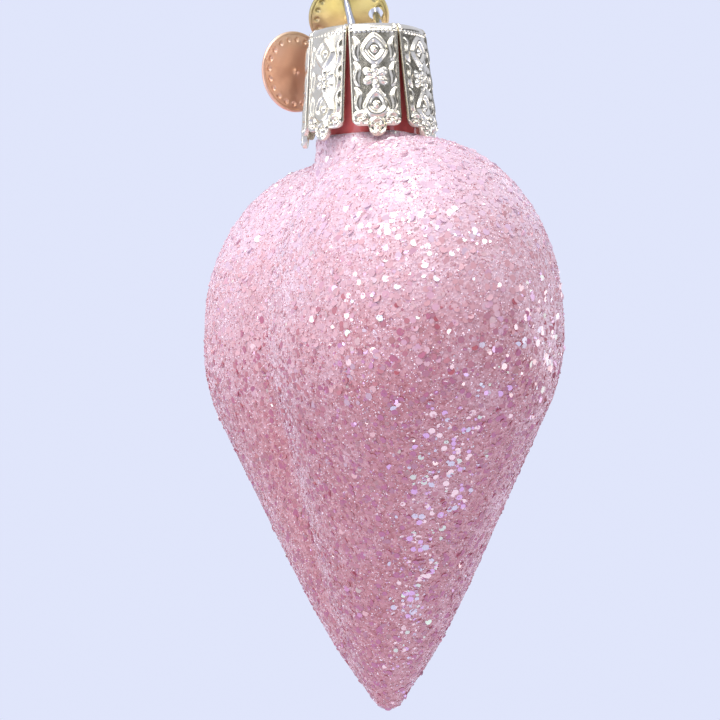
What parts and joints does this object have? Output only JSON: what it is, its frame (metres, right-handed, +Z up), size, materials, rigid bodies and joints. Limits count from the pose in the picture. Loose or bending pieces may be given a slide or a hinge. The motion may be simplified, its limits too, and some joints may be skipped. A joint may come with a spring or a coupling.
{
  "type": "heart hanging ornament",
  "caption": "Puffed glass heart ornament with a glitter coat, a crown cap of bent-down petals, a wire hanger and a small tag of two discs.",
  "frame": {"origin": "the hooking point, at the inside of the top of the wire hanger's arch", "axes": "+Z up along the heart's own axis, X across the heart's two lobes, Y front to back through its thickness"},
  "size_m": [0.053, 0.0274, 0.0748],
  "materials": {
    "red_glass": "lacquered blown glass, glossy",
    "pink_glitter": "pink granules and glitter flakes in glue",
    "pale_gold": "polished, pressed pattern",
    "steel_wire": "bright drawn wire",
    "deep_gold": "polished, stamped"
  },
  "bodies": {
    "hanger": {"wire_hanger": "steel_wire", "crown_cap": "pale_gold"},
    "heart": {"glass_heart": "red_glass", "glitter_coat": "pink_glitter"},
    "tag": {"medallion_tag": "deep_gold"}
  },
  "joints": [
    {"name": "heart_pull", "type": "slide", "parent": "hanger", "child": "heart", "axis": [0, 0, -1], "range_m": [0, 0.012]},
    {"name": "tag_swing", "type": "hinge", "parent": "hanger", "child": "tag", "pos_m": [0.00325, -0.00241, -0.00226], "axis": [-0.0726, 0.8855, -0.459], "range_deg": [0, 35]}
  ]
}
